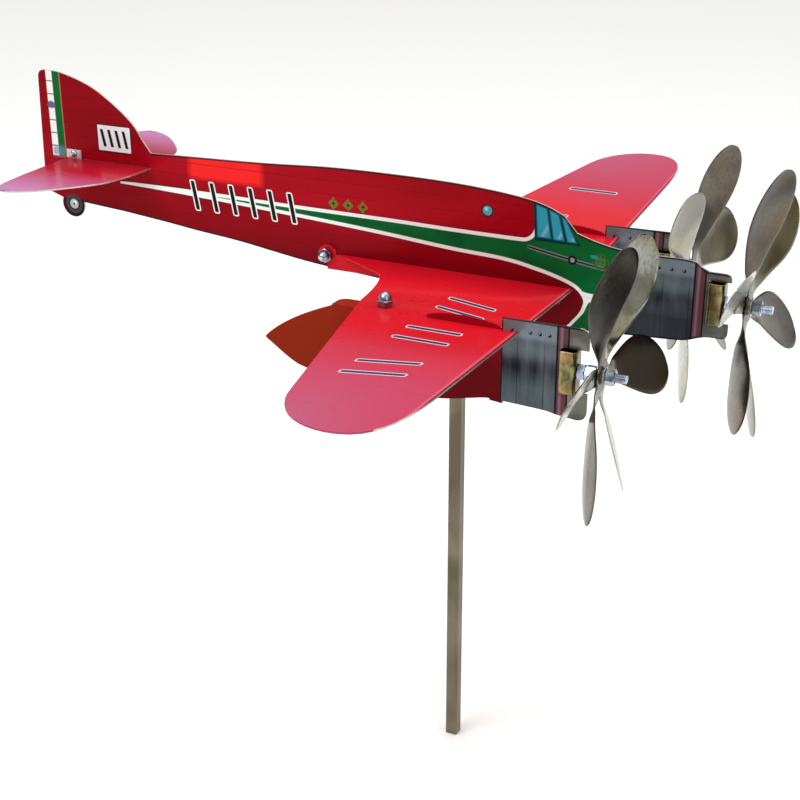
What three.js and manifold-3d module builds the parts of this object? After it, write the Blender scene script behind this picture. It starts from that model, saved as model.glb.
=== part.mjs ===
// A three-engined aeroplane wind spinner: flat sheet-metal aircraft that turns on a square pole,
// with three six-bladed rotors that spin on bolts at the nose and at the two wing engines.
//
// Units are millimetres. +X points to the nose, +Y to the port wing, +Z up.
// The origin is the middle of the pole's bottom end, and the pole's axis is the yaw axis.
// Shapes of the aircraft are drawn in its own frame, whose origin is on the yaw axis
// at the height where the two wings meet the fuselage.

import * as THREE from 'three';
import { mergeVertices } from 'three/addons/utils/BufferGeometryUtils.js';
import Module from 'manifold-3d';

const wasm = await Module();
wasm.setup();

// ---------------------------------------------------------------- driving dimensions
const WING_HEIGHT = 415;        // wing root plane above the pole's bottom end
const GAP = 0.3;                // clearance between pieces that touch on the real object

const PLATE = 1.5;              // fuselage and nacelle sheet
const SHEET = 1.2;              // wing, tailplane and engine mount sheet
const BLADE_SHEET = 1;          // rotor stampings

const POLE_SIDE = 10;
const POLE_WALL = 1;

const DIHEDRAL = THREE.MathUtils.degToRad(3.25);
const WING_LE_X = 89.5;         // straight leading edge
const WING_SPAN_HALF = 319.5;
const ENGINE_Y = 109.8;         // wing engines left and right of the fuselage
const SLOT_REAR_X = 22.7;       // rear end of the wing's slot for the nacelle plate

const WING_THRUST_Z = -14;      // height of the wing engines' axles
const NOSE_THRUST_Z = 6.5;      // height of the nose engine's axle
const WING_MOUNT_X = 131.5;     // front face of a wing engine's mount
const NOSE_MOUNT_X = 199.5;     // front face of the nose engine's mount
const NACELLE_FRONT_X = 138.5;
const NOSE_FRONT_X = 203;

const MOUNT_WIDTH = 14;
const MOUNT_DEPTH = 12;
const MOUNT_HEIGHT = 30;
const MOUNT_CORNER = 2.6;

const ROTOR_RADIUS = 100;
const BLADES_PER_STAMPING = 3;
const BLADE_PITCH = THREE.MathUtils.degToRad(24);
const REAR_CONE = 10;           // how far the rear stamping's tips lean forward
const FRONT_CONE = 18;
const HUB_RADIUS = 11;

const TAILPLANE_Z = 49;
const FACETS = 20;              // facets of round fasteners

const M6 = { radius: 3, acrossFlats: 10, head: 4, nut: 5, hole: 3.35 };
const M4 = { radius: 2, acrossFlats: 7, head: 2.8, nut: 3.2, hole: 2.35 };

// ---------------------------------------------------------------- materials
const material = (color, roughness, metalness) =>
  new THREE.MeshStandardMaterial({ color, roughness, metalness });

const enamel = () => material(0xb80f1a, 0.25, 0.1);
const stainless = () => material(0xb9b3a6, 0.3, 0.95);
const blade = () => material(0xa39a84, 0.18, 1);
const zinc = () => material(0xb4c2d0, 0.3, 0.95);
const poleSteel = () => material(0x8f877a, 0.4, 0.9);
const nylon = () => material(0xe6e2d8, 0.6, 0);
const brass = () => material(0xb08d4a, 0.35, 0.9);

// ---------------------------------------------------------------- solid helpers
function toSolid(geometry) {
  const bare = geometry.clone();
  bare.deleteAttribute('normal');
  bare.deleteAttribute('uv');
  const merged = mergeVertices(bare, 1e-4);
  return new wasm.Manifold(new wasm.Mesh({
    numProp: 3,
    vertProperties: new Float32Array(merged.attributes.position.array),
    triVerts: new Uint32Array(merged.index.array),
  }));
}

function toGeometry(solid) {
  const mesh = solid.getMesh();
  const geometry = new THREE.BufferGeometry();
  geometry.setAttribute('position', new THREE.BufferAttribute(new Float32Array(mesh.vertProperties), 3));
  geometry.setIndex(new THREE.BufferAttribute(new Uint32Array(mesh.triVerts), 1));
  return geometry;
}

function cut(geometry, ...tools) {
  const solid = tools.reduce((rest, tool) => rest.subtract(toSolid(tool)), toSolid(geometry));
  return toGeometry(solid);
}

function join(geometry, ...others) {
  const solid = others.reduce((sum, other) => sum.add(toSolid(other)), toSolid(geometry));
  return toGeometry(solid);
}

function box(x0, x1, y0, y1, z0, z1) {
  return new THREE.BoxGeometry(x1 - x0, y1 - y0, z1 - z0)
    .translate((x0 + x1) / 2, (y0 + y1) / 2, (z0 + z1) / 2);
}

// A round bar or bore along one axis, from one place on that axis to another.
function bar(axis, radius, from, to, facets = FACETS) {
  const rod = new THREE.CylinderGeometry(radius, radius, to - from, facets).translate(0, (from + to) / 2, 0);
  if (axis === 'x') rod.rotateZ(-Math.PI / 2);
  if (axis === 'z') rod.rotateX(Math.PI / 2);
  return rod;
}

// A hexagonal prism along one axis.
function hex(axis, acrossFlats, from, to) {
  return bar(axis, acrossFlats / Math.sqrt(3), from, to, 6);
}

// Upright plate: a shape drawn in X and Z, as thick as asked, centred on Y = 0.
function uprightPlate(shape, thickness, curveSegments = 8) {
  return new THREE.ExtrudeGeometry(shape, { depth: thickness, bevelEnabled: false, curveSegments })
    .rotateX(Math.PI / 2)
    .translate(0, thickness / 2, 0);
}

// Flat plate: a shape drawn in X and Y, centred on Z = 0.
function flatPlate(shape, thickness, curveSegments = 8) {
  return new THREE.ExtrudeGeometry(shape, { depth: thickness, bevelEnabled: false, curveSegments })
    .translate(0, 0, -thickness / 2);
}

function roundHole(x, y, radius) {
  const hole = new THREE.Path();
  hole.absarc(x, y, radius, 0, 2 * Math.PI, false);
  return hole;
}

function boxHole(x0, x1, y0, y1) {
  const hole = new THREE.Path();
  hole.moveTo(x0, y0);
  hole.lineTo(x1, y0);
  hole.lineTo(x1, y1);
  hole.lineTo(x0, y1);
  hole.closePath();
  return hole;
}

const points = (...pairs) => pairs.map(([x, y]) => new THREE.Vector2(x, y));

// ---------------------------------------------------------------- fasteners, drawn along +X
function hexNut(size, length) {
  return cut(hex('x', size.acrossFlats, 0, length), bar('x', size.hole, -1, length + 1));
}

function washer(size, outerRadius, thickness) {
  return cut(bar('x', outerRadius, 0, thickness), bar('x', size.hole, -1, thickness + 1));
}

// The head lies behind X = 0 and the shank runs forward from it.
function hexBolt(size, length) {
  return join(
    hex('x', size.acrossFlats, -size.head, 0),
    bar('x', size.radius, -size.head / 2, length),
  );
}

// A cap nut: hexagon at X = 0, dome pointing forward, blind hole open at X = 0.
function acornNut(size) {
  const hexLength = size.nut * 0.9;
  const domeRadius = size.acrossFlats * 0.46;
  const height = hexLength + domeRadius * 1.25;
  const profile = [new THREE.Vector2(0, hexLength / 2), new THREE.Vector2(domeRadius, hexLength / 2)];
  const arcSteps = 7;
  for (let i = 0; i < arcSteps; i += 1) {
    const turn = (i / arcSteps) * Math.PI / 2;
    profile.push(new THREE.Vector2(
      domeRadius * Math.cos(turn),
      hexLength + (height - hexLength) * Math.sin(turn),
    ));
  }
  profile.push(new THREE.Vector2(0, height));
  const dome = new THREE.LatheGeometry(profile, FACETS).rotateZ(-Math.PI / 2);
  const body = join(hex('x', size.acrossFlats, 0, hexLength), dome);
  return cut(body, bar('x', size.hole, -1, height - 2));
}

// A rivet through a sheet at X = 0: a round head in front and one behind.
function rivet(radius, grip) {
  const headRadius = radius * 2;
  const headHeight = radius * 1.1;
  const profile = [new THREE.Vector2(0, 0), new THREE.Vector2(headRadius, 0)];
  const arcSteps = 5;
  for (let i = 1; i < arcSteps; i += 1) {
    const turn = (i / arcSteps) * Math.PI / 2;
    profile.push(new THREE.Vector2(headRadius * Math.cos(turn), headHeight * Math.sin(turn)));
  }
  profile.push(new THREE.Vector2(0, headHeight));
  const head = new THREE.LatheGeometry(profile, FACETS);
  const front = head.clone().rotateZ(-Math.PI / 2).translate(grip / 2, 0, 0);
  const back = head.clone().rotateZ(Math.PI / 2).translate(-grip / 2, 0, 0);
  return join(bar('x', radius, -grip / 2 - headHeight / 2, grip / 2 + headHeight / 2), front, back);
}

// ---------------------------------------------------------------- scene helpers
function piece(name, geometry, pieceMaterial) {
  const mesh = new THREE.Mesh(geometry, pieceMaterial);
  mesh.name = name;
  return mesh;
}

function group(parent, x = 0, y = 0, z = 0) {
  const holder = new THREE.Group();
  holder.position.set(x, y, z);
  parent.add(holder);
  return holder;
}

const SIDES = [
  { name: 'starboard', sign: -1 },
  { name: 'port', sign: 1 },
];

// ---------------------------------------------------------------- pole and swivel
const BLOCK_BOTTOM = -50;
const BLOCK_TOP = -3;
const BLOCK_LENGTH = 26;
const BLOCK_WIDTH = 16;
const BLOCK_SLOT_BOTTOM = -20.6;
const BLOCK_BOLT_X = 7.5;
const BLOCK_BOLT_Z = -9.5;
const BORE_TOP = -23.6;
const THRUST_WASHER = 1;
const PLUG_HEAD = 2;
const PLUG_DEPTH = 20;
const SPINDLE_RADIUS = 3;

const WASHER_BOTTOM = BLOCK_BOTTOM - GAP - THRUST_WASHER;
const PLUG_TOP = WASHER_BOTTOM - GAP;
const POLE_TOP = PLUG_TOP - PLUG_HEAD - GAP;

function roundedSquare(side, corner) {
  const half = side / 2;
  const shape = new THREE.Shape();
  shape.moveTo(half, -half + corner);
  shape.absarc(half - corner, half - corner, corner, 0, Math.PI / 2, false);
  shape.absarc(-half + corner, half - corner, corner, Math.PI / 2, Math.PI, false);
  shape.absarc(-half + corner, -half + corner, corner, Math.PI, 1.5 * Math.PI, false);
  shape.absarc(half - corner, -half + corner, corner, 1.5 * Math.PI, 2 * Math.PI, false);
  return shape;
}

function poleTube() {
  const section = roundedSquare(POLE_SIDE, 1);
  section.holes.push(roundedSquare(POLE_SIDE - 2 * POLE_WALL, 0.4));
  return new THREE.ExtrudeGeometry(section, {
    depth: WING_HEIGHT + POLE_TOP, bevelEnabled: false, curveSegments: 3,
  });
}

function polePlug() {
  const inside = POLE_SIDE - 2 * POLE_WALL - 2 * GAP;
  const half = POLE_SIDE / 2;
  const head = box(-half, half, -half, half, PLUG_TOP - PLUG_HEAD, PLUG_TOP);
  const body = box(-inside / 2, inside / 2, -inside / 2, inside / 2, PLUG_TOP - PLUG_DEPTH, PLUG_TOP - 1);
  return cut(join(head, body), bar('z', SPINDLE_RADIUS + GAP, PLUG_TOP - PLUG_DEPTH - 1, PLUG_TOP + 1));
}

function spindle() {
  const bottom = PLUG_TOP - PLUG_DEPTH + 2;
  const top = BORE_TOP - GAP;
  const tip = 2;
  const profile = points(
    [0, bottom], [SPINDLE_RADIUS, bottom], [SPINDLE_RADIUS, top - tip],
    [SPINDLE_RADIUS * 0.8, top - tip * 0.4], [SPINDLE_RADIUS * 0.4, top - tip * 0.1], [0, top],
  );
  return new THREE.LatheGeometry(profile, FACETS).rotateX(Math.PI / 2);
}

function bearingBlock() {
  const long = BLOCK_LENGTH / 2;
  const wide = BLOCK_WIDTH / 2;
  const slot = PLATE / 2 + GAP;
  const boltHole = bar('y', M4.hole, -wide - 1, wide + 1);
  return cut(
    box(-long, long, -wide, wide, BLOCK_BOTTOM, BLOCK_TOP),
    box(-long - 1, long + 1, -slot, slot, BLOCK_SLOT_BOTTOM, BLOCK_TOP + 1),
    bar('z', SPINDLE_RADIUS + GAP, BLOCK_BOTTOM - 1, BORE_TOP),
    boltHole.clone().translate(-BLOCK_BOLT_X, 0, BLOCK_BOLT_Z),
    boltHole.clone().translate(BLOCK_BOLT_X, 0, BLOCK_BOLT_Z),
  );
}

// ---------------------------------------------------------------- fuselage
const TAIL_WHEEL = { x: -348, z: 10, radius: 11 };
const WING_BOLTS = [{ name: 'rear', x: -109.6, z: 0 }, { name: 'front', x: 50, z: -6.5 }];
const TAIL_SLOT = { rear: -349.8, front: -268.2 };
const TAIL_RIVET = { x: -342, z: TAILPLANE_Z + 4.6 };

function fuselageShape() {
  const wheelStart = THREE.MathUtils.degToRad(15);
  const wheelEnd = THREE.MathUtils.degToRad(-205);
  const shape = new THREE.Shape();
  shape.moveTo(-371.5, 19);
  shape.lineTo(-374, 41);
  shape.lineTo(-371.4, 114);
  shape.quadraticCurveTo(-371, 119.8, -365, 119.8);
  shape.splineThru(points([-348, 118.5], [-322, 110.5], [-301, 98], [-284, 84], [-274, 70], [-267.5, 61.5]));
  shape.splineThru(points([-240, 62.5], [-167, 65], [-104, 68.4], [-50, 69], [-10, 68.4], [22, 66.6],
    [51, 63.4], [68, 59.4], [80.5, 54]));
  shape.lineTo(90.5, 42.6);
  shape.splineThru(points([105, 38.2], [122, 35], [140, 34.2], [173, 34.2], [181, 30.5], [187, 27.8]));
  shape.lineTo(NOSE_FRONT_X - 5, 27.8);
  shape.quadraticCurveTo(NOSE_FRONT_X, 27.8, NOSE_FRONT_X, 22.8);
  shape.lineTo(NOSE_FRONT_X, NOSE_THRUST_Z + MOUNT_HEIGHT / 2 + GAP);
  shape.lineTo(NOSE_MOUNT_X - MOUNT_DEPTH - GAP, NOSE_THRUST_Z + MOUNT_HEIGHT / 2 + GAP);
  shape.lineTo(NOSE_MOUNT_X - MOUNT_DEPTH - GAP, NOSE_THRUST_Z - MOUNT_HEIGHT / 2 - GAP);
  shape.lineTo(NOSE_FRONT_X, NOSE_THRUST_Z - MOUNT_HEIGHT / 2 - GAP);
  shape.lineTo(NOSE_FRONT_X, -15);
  shape.quadraticCurveTo(NOSE_FRONT_X, -20, NOSE_FRONT_X - 5, -20);
  shape.splineThru(points([189, -20.2], [182, -22], [173, -25], [155, -26.6], [110, -29], [75, -31.5],
    [52, -30.4], [32, -24.4], [14, -20.6], [0, -19.6], [-66, -14], [-126, -9.3], [-188, -1], [-226, 2.6], [-256, 6], [-297, 10]));
  shape.absarc(TAIL_WHEEL.x, TAIL_WHEEL.z, TAIL_WHEEL.radius, wheelStart, wheelEnd, true);
  shape.closePath();
  shape.holes.push(boxHole(
    TAIL_SLOT.rear, TAIL_SLOT.front,
    TAILPLANE_Z - SHEET / 2 - GAP, TAILPLANE_Z + SHEET / 2 + GAP,
  ));
  for (const bolt of WING_BOLTS) shape.holes.push(roundHole(bolt.x, bolt.z, M6.hole));
  for (const x of [-BLOCK_BOLT_X, BLOCK_BOLT_X]) shape.holes.push(roundHole(x, BLOCK_BOLT_Z, M4.hole));
  shape.holes.push(roundHole(TAIL_RIVET.x, TAIL_RIVET.z, 1.5 + GAP));
  return shape;
}

// ---------------------------------------------------------------- tailplane
const EAR = { rear: -349, front: -335, height: 8, thickness: 1 };

function tailplaneShape() {
  const shape = new THREE.Shape();
  const half = points([-349.5, 58], [-347.5, 88], [-341, 100], [-331, 101], [-312, 91],
    [-291, 69.5], [-277, 50], [-270.5, 25]);
  shape.moveTo(-349.5, 0);
  shape.lineTo(half[0].x, half[0].y);
  shape.splineThru(half.slice(1));
  shape.lineTo(-268.5, 0);
  shape.lineTo(-270.5, -25);
  shape.splineThru(half.slice(0, -1).reverse().map((p) => new THREE.Vector2(p.x, -p.y)));
  shape.closePath();
  return shape;
}

// The sheet passes through the fuselage, and a small ear folded up on each side is riveted to the fin.
function tailplane() {
  const sheet = flatPlate(tailplaneShape(), SHEET, 4).translate(0, 0, TAILPLANE_Z);
  const inner = PLATE / 2 + GAP;
  const ears = SIDES.map(({ sign }) => {
    const near = sign * inner;
    const far = sign * (inner + EAR.thickness);
    return box(EAR.rear, EAR.front, Math.min(near, far), Math.max(near, far),
      TAILPLANE_Z, TAILPLANE_Z + EAR.height);
  });
  const hole = bar('y', 1.5 + GAP, -5, 5).translate(TAIL_RIVET.x, 0, TAIL_RIVET.z);
  return cut(join(sheet, ...ears), hole);
}

// ---------------------------------------------------------------- wings
const WING_ROOT_Y = PLATE / 2 + GAP;
const FLANGE_DEPTH = 12;
const FLANGE_EAR_RADIUS = 7.5;
const FLANGES = [[WING_BOLTS[0].x, -BLOCK_LENGTH / 2 - 4], [BLOCK_LENGTH / 2 + 4, 80]];
const NACELLE_BOLT = { x: -12, y: 102.4 };

function wingShape() {
  const shape = new THREE.Shape();
  shape.moveTo(-100, WING_ROOT_Y);
  shape.lineTo(WING_LE_X, WING_ROOT_Y);
  shape.lineTo(WING_LE_X, ENGINE_Y - PLATE / 2 - 0.4);
  shape.lineTo(SLOT_REAR_X, ENGINE_Y - PLATE / 2 - 0.4);
  shape.lineTo(SLOT_REAR_X, ENGINE_Y + PLATE / 2 + 0.4);
  shape.lineTo(WING_LE_X, ENGINE_Y + PLATE / 2 + 0.4);
  shape.lineTo(WING_LE_X, 236);
  shape.bezierCurveTo(WING_LE_X, 292, 82, WING_SPAN_HALF, 55, WING_SPAN_HALF);
  shape.bezierCurveTo(34, WING_SPAN_HALF, 14, 302, 8, 272);
  shape.lineTo(-33.5, 96);
  shape.quadraticCurveTo(-39, 50, -50, 33);
  shape.closePath();
  shape.holes.push(roundHole(NACELLE_BOLT.x, NACELLE_BOLT.y, M6.hole));
  return shape;
}

// Root flange: a strip folded down along the fuselage, with a round ear at the rear bolt.
function wingFlanges() {
  const strip = (from, to) => box(from, to, WING_ROOT_Y, WING_ROOT_Y + SHEET, -FLANGE_DEPTH, 0);
  const ear = bar('y', FLANGE_EAR_RADIUS, WING_ROOT_Y, WING_ROOT_Y + SHEET)
    .translate(WING_BOLTS[0].x, 0, WING_BOLTS[0].z);
  return [...FLANGES.map(([from, to]) => strip(from, to)), ear];
}

function wing(sign) {
  const sheet = flatPlate(wingShape(), SHEET, 10).rotateX(DIHEDRAL);
  const inside = box(-200, 200, -5, WING_ROOT_Y, -30, 30);
  const holes = WING_BOLTS.map(({ x, z }) => bar('y', M6.hole, -1, 6).translate(x, 0, z));
  const portWing = cut(join(sheet, ...wingFlanges()), inside, ...holes);
  return sign > 0 ? portWing : mirrored(portWing);
}

// The same shape with left and right exchanged, its triangles turned so that they still face out.
function mirrored(geometry) {
  const copy = geometry.clone().applyMatrix4(new THREE.Matrix4().makeScale(1, -1, 1));
  const order = copy.index.array;
  for (let i = 0; i < order.length; i += 3) {
    [order[i], order[i + 1]] = [order[i + 1], order[i]];
  }
  return copy;
}

// ---------------------------------------------------------------- nacelles
const TAB_WIDTH = 15;
const TAB_REAR = -49;
const TAB_FRONT = -2;

const wingMidHeight = (y) => Math.tan(DIHEDRAL) * y;
const NACELLE_TOP_UNDER_WING = wingMidHeight(ENGINE_Y) - SHEET / 2 - 0.45;

function nacelleShape() {
  const top = NACELLE_TOP_UNDER_WING;
  const mountRear = WING_MOUNT_X - MOUNT_DEPTH - GAP;
  const mountTop = WING_THRUST_Z + MOUNT_HEIGHT / 2 + GAP;
  const mountBottom = WING_THRUST_Z - MOUNT_HEIGHT / 2 - GAP;
  const shape = new THREE.Shape();
  shape.moveTo(-103, -27);
  shape.quadraticCurveTo(-88, -11, TAB_REAR, top - 1);
  shape.lineTo(TAB_REAR + 2, top);
  shape.lineTo(SLOT_REAR_X + GAP, top);
  shape.lineTo(SLOT_REAR_X + GAP, 8.5);
  shape.bezierCurveTo(30, 13.4, 66, 13.4, 77.5, 8.2);
  shape.lineTo(78, 15.4);
  shape.lineTo(NACELLE_FRONT_X - 7, 16.2);
  shape.quadraticCurveTo(NACELLE_FRONT_X, 16.2, NACELLE_FRONT_X, 9.2);
  shape.lineTo(NACELLE_FRONT_X, mountTop);
  shape.lineTo(mountRear, mountTop);
  shape.lineTo(mountRear, mountBottom);
  shape.lineTo(NACELLE_FRONT_X, mountBottom);
  shape.lineTo(NACELLE_FRONT_X, -42);
  shape.quadraticCurveTo(NACELLE_FRONT_X, -48.6, NACELLE_FRONT_X - 7, -48.8);
  shape.splineThru(points([118, -47.4], [108, -45.8], [80, -44.6]));
  shape.lineTo(79, -46.4);
  shape.lineTo(70, -45.6);
  shape.splineThru(points([66, -44.6], [35, -51], [0, -53.6], [-40, -52], [-70, -46.8], [-83, -42], [-100, -30.5]));
  shape.quadraticCurveTo(-104, -28.5, -103, -27);
  shape.closePath();
  return shape;
}

// Upright plate with a tab folded inwards under the wing, which one bolt clamps.
function nacelle(sign) {
  const upright = uprightPlate(nacelleShape(), PLATE).translate(0, ENGINE_Y, 0);
  const tab = new THREE.Shape();
  const inner = ENGINE_Y - TAB_WIDTH;
  tab.moveTo(TAB_FRONT, ENGINE_Y + PLATE / 2);
  tab.lineTo(TAB_REAR, ENGINE_Y + PLATE / 2);
  tab.lineTo(TAB_REAR, inner + 7);
  tab.quadraticCurveTo(TAB_REAR, inner, TAB_REAR + 7, inner);
  tab.lineTo(TAB_FRONT - 5, inner);
  tab.quadraticCurveTo(TAB_FRONT, inner, TAB_FRONT, inner + 5);
  tab.closePath();
  tab.holes.push(roundHole(NACELLE_BOLT.x, NACELLE_BOLT.y, M6.hole));
  const tabMiddle = -SHEET / 2 - GAP - PLATE / 2;
  const folded = flatPlate(tab, PLATE).translate(0, 0, tabMiddle).rotateX(DIHEDRAL);
  const portNacelle = join(upright, folded);
  return sign > 0 ? portNacelle : mirrored(portNacelle);
}

// ---------------------------------------------------------------- engines and rotors
// Drawn with the mount's front face at X = 0 and the axle along X.
const STACK = {
  clampNut: GAP,
  spacerNut: 5.6,
  rearWasher: 12.9,
  bush: 14,
  rearStamping: 14.5,
  frontStamping: 15.9,
  frontWasher: 18.1,
  lockNut: 19.2,
  boltEnd: 33,
};
const SPACER_LENGTH = 7;
const BUSH_LENGTH = 3.8;
const BUSH_RADIUS = 4.6;
const WASHER_THICKNESS = 0.8;
const WASHER_RADIUS = 6.2;

function engineMount() {
  const section = roundedRectangle(MOUNT_DEPTH, MOUNT_WIDTH, MOUNT_CORNER);
  section.holes.push(roundedRectangle(MOUNT_DEPTH - 2 * SHEET, MOUNT_WIDTH - 2 * SHEET, MOUNT_CORNER - SHEET));
  const tube = new THREE.ExtrudeGeometry(section, { depth: MOUNT_HEIGHT, bevelEnabled: false, curveSegments: 4 })
    .translate(-MOUNT_DEPTH / 2, 0, -MOUNT_HEIGHT / 2);
  return cut(tube, bar('x', M6.hole, -MOUNT_DEPTH / 2, 2));
}

function roundedRectangle(width, height, corner) {
  const x = width / 2 - corner;
  const y = height / 2 - corner;
  const shape = new THREE.Shape();
  shape.moveTo(x + corner, -y);
  shape.absarc(x, y, corner, 0, Math.PI / 2, false);
  shape.absarc(-x, y, corner, Math.PI / 2, Math.PI, false);
  shape.absarc(-x, -y, corner, Math.PI, 1.5 * Math.PI, false);
  shape.absarc(x, -y, corner, 1.5 * Math.PI, 2 * Math.PI, false);
  return shape;
}

function smooth(from, to, value) {
  return THREE.MathUtils.smoothstep(value, from, to);
}

// Half the blade's width at a radius: a narrow neck that opens into a broad leaf with a round tip.
function bladeHalfWidth(radius) {
  const along = radius / ROTOR_RADIUS;
  const leaf = 6.2 + 15.2 * smooth(0.12, 0.7, along);
  const tip = Math.sqrt(Math.max(0, 1 - (Math.max(0, along - 0.7) / 0.302) ** 2));
  return leaf * tip;
}

// Closed solid of one blade that points along +Z, twisted about its length, in sheet metal.
function bladeGeometry(cone) {
  const rows = 12;
  const columns = 4;
  const rootRadius = 6;
  const flatRadius = HUB_RADIUS + 1;
  const ring = 2 * (columns + 1);
  const vertices = [];
  for (let row = 0; row <= rows; row += 1) {
    const share = Math.max(0, row - 1) / (rows - 1);
    const outer = flatRadius + (ROTOR_RADIUS - flatRadius) * (1 - (1 - share) ** 1.35);
    const radius = row === 0 ? rootRadius : outer;
    const pitch = BLADE_PITCH * smooth(flatRadius, 30, radius);
    const lean = cone * (Math.max(0, radius - 20) / (ROTOR_RADIUS - 20)) ** 1.4;
    const halfWidth = bladeHalfWidth(radius);
    const cupped = 0.075 * halfWidth * smooth(20, 60, radius);
    for (const face of [-1, 1]) {
      for (let column = 0; column <= columns; column += 1) {
        const across = ((face < 0 ? column : columns - column) / columns) * 2 - 1;
        const forward = lean + cupped * across * across + (face * BLADE_SHEET) / 2;
        const sideways = across * halfWidth;
        vertices.push(
          forward * Math.cos(pitch) + sideways * Math.sin(pitch),
          sideways * Math.cos(pitch) - forward * Math.sin(pitch) + lean * Math.sin(pitch),
          radius,
        );
      }
    }
  }
  const triangles = [];
  for (let row = 0; row < rows; row += 1) {
    for (let i = 0; i < ring; i += 1) {
      const a = row * ring + i;
      const b = row * ring + ((i + 1) % ring);
      triangles.push(a, b + ring, b, a, a + ring, b + ring);
    }
  }
  for (let column = 0; column < columns; column += 1) {
    const near = [column, column + 1, ring - 1 - column, ring - 2 - column];
    const last = rows * ring;
    triangles.push(near[0], near[1], near[2], near[1], near[3], near[2]);
    triangles.push(last + near[0], last + near[2], last + near[1], last + near[1], last + near[2], last + near[3]);
  }
  const geometry = new THREE.BufferGeometry();
  geometry.setAttribute('position', new THREE.BufferAttribute(new Float32Array(vertices), 3));
  geometry.setIndex(triangles);
  return geometry;
}

function stamping(cone) {
  const one = bladeGeometry(cone);
  const blades = [];
  for (let i = 0; i < BLADES_PER_STAMPING; i += 1) {
    blades.push(one.clone().rotateX((-i * 2 * Math.PI) / BLADES_PER_STAMPING));
  }
  const disc = bar('x', HUB_RADIUS, -BLADE_SHEET / 2, BLADE_SHEET / 2, 24);
  const bore = bar('x', BUSH_RADIUS + GAP, -6, 6);
  return cut(join(disc, ...blades), bore).translate(BLADE_SHEET / 2, 0, 0);
}

function bush() {
  return cut(bar('x', BUSH_RADIUS, 0, BUSH_LENGTH), bar('x', M6.hole, -1, BUSH_LENGTH + 1));
}

// Angle of the first blade of each stamping, from straight up towards the port wing.
const ENGINES = [
  { name: 'nose', x: NOSE_MOUNT_X, y: 0, z: NOSE_THRUST_Z, rear: 54, front: -4 },
  { name: 'starboard', x: WING_MOUNT_X, y: -ENGINE_Y, z: WING_THRUST_Z, rear: 40, front: -16 },
  { name: 'port', x: WING_MOUNT_X, y: ENGINE_Y, z: WING_THRUST_Z, rear: 80, front: 20 },
];

function addEngine(parent, { name, x, y, z, rear, front }) {
  const engine = group(parent, x, y, z);
  const headRoom = SHEET + GAP;
  const put = (label, geometry, at, finish) => {
    const mesh = piece(`${name}_${label}`, geometry, finish);
    mesh.position.x = at;
    engine.add(mesh);
    return mesh;
  };
  put('engine_mount', engineMount(), 0, stainless());
  put('axle_bolt', hexBolt(M6, STACK.boltEnd + headRoom), -headRoom, zinc());
  put('clamp_nut', hexNut(M6, M6.nut), STACK.clampNut, zinc());
  put('spacer_nut', hexNut(M6, SPACER_LENGTH), STACK.spacerNut, zinc());
  put('rear_washer', washer(M6, WASHER_RADIUS, WASHER_THICKNESS), STACK.rearWasher, zinc());
  put('front_washer', washer(M6, WASHER_RADIUS, WASHER_THICKNESS), STACK.frontWasher, zinc());
  put('lock_nut', hexNut(M6, M6.nut + 1), STACK.lockNut, zinc());

  const rearBlades = put('rear_blades', stamping(REAR_CONE), STACK.rearStamping, blade());
  rearBlades.rotation.x = -THREE.MathUtils.degToRad(rear);
  const frontBlades = put('front_blades', stamping(FRONT_CONE), STACK.frontStamping, blade());
  frontBlades.rotation.x = -THREE.MathUtils.degToRad(front);
  put('rotor_bush', bush(), STACK.bush, brass());
}

// ---------------------------------------------------------------- assembly
function addPole(parent) {
  parent.add(piece('pole_tube', poleTube(), poleSteel()));
  const swivel = group(parent, 0, 0, WING_HEIGHT);
  swivel.add(piece('pole_plug', polePlug(), zinc()));
  swivel.add(piece('swivel_spindle', spindle(), zinc()));
  const thrust = washer(M6, POLE_SIDE / 2, THRUST_WASHER).rotateY(-Math.PI / 2).translate(0, 0, WASHER_BOTTOM);
  swivel.add(piece('thrust_washer', thrust, nylon()));
}

// A bolt across the fuselage: its head to port, its cap nut to starboard.
function addCrossBolt(parent, name, size, x, z, grip) {
  const across = group(parent, x, 0, z);
  across.rotation.z = -Math.PI / 2;
  const cap = acornNut(size);
  cap.computeBoundingBox();
  const reach = cap.boundingBox.max.x - 2 - 1;
  const bolt = piece(`${name}_bolt`, hexBolt(size, 2 * grip + reach), zinc());
  bolt.position.x = -grip;
  const nut = piece(`${name}_cap_nut`, cap, zinc());
  nut.position.x = grip;
  across.add(bolt, nut);
}

function addNacelle(parent, { name, sign }) {
  parent.add(piece(`nacelle_${name}`, nacelle(sign), enamel()));
  const leaning = group(parent);
  leaning.rotation.x = sign * DIHEDRAL;
  const bolted = group(leaning, NACELLE_BOLT.x, sign * NACELLE_BOLT.y, 0);
  bolted.rotation.y = -Math.PI / 2;
  const cap = acornNut(M6);
  cap.computeBoundingBox();
  const under = SHEET / 2 + GAP + PLATE + GAP;
  const over = SHEET / 2 + GAP;
  const bolt = piece(`nacelle_${name}_bolt`, hexBolt(M6, under + over + cap.boundingBox.max.x - 3), zinc());
  bolt.position.x = -under;
  const nut = piece(`nacelle_${name}_cap_nut`, cap, zinc());
  nut.position.x = over;
  bolted.add(bolt, nut);
}

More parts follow.
